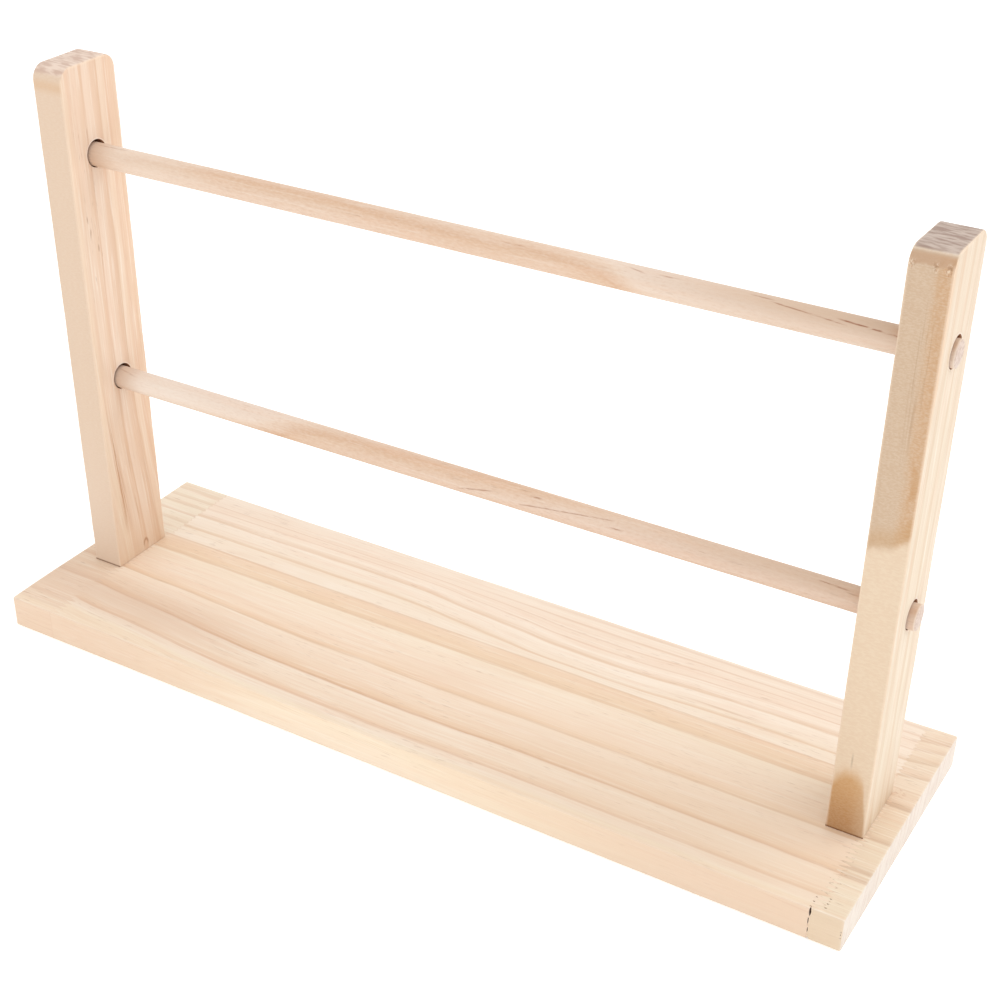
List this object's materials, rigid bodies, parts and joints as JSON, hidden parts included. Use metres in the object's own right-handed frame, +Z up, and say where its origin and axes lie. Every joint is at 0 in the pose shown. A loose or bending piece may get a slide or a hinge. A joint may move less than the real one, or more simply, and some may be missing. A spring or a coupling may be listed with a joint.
{
  "type": "paint rack organizer",
  "caption": "Pine rack for spools and rolls: a flat base board, bored uprights near its ends and loose round rods that slide out sideways.",
  "frame": {"origin": "middle of the base board's underside, on the surface it stands on", "axes": "+X along the board towards the right upright, +Y from the front edge to the back, +Z up"},
  "size_m": [0.4, 0.125, 0.248],
  "materials": {
    "board_pine": "bare sanded pine, pale cream with pinkish growth lines, unvarnished",
    "batten_pine": "bare planed pine, straight grain, a little darker on the sawn edges",
    "dowel_pine": "bare turned pine dowel, pinkish tan with fine lengthwise streaks",
    "zinc_steel": "bright zinc-plated steel"
  },
  "bodies": {
    "stand": {"base_board": "board_pine", "left_upright": "batten_pine", "right_upright": "batten_pine", "left_front_screw": "zinc_steel", "left_back_screw": "zinc_steel", "right_front_screw": "zinc_steel", "right_back_screw": "zinc_steel"},
    "upper_rod": {"upper_rod": "dowel_pine"},
    "lower_rod": {"lower_rod": "dowel_pine"}
  },
  "joints": [
    {"name": "upper_rod_slide", "type": "slide", "parent": "stand", "child": "upper_rod", "axis": [1, 0, 0], "range_m": [-0.36, 0.36]},
    {"name": "lower_rod_slide", "type": "slide", "parent": "stand", "child": "lower_rod", "axis": [1, 0, 0], "range_m": [-0.36, 0.36]}
  ]
}
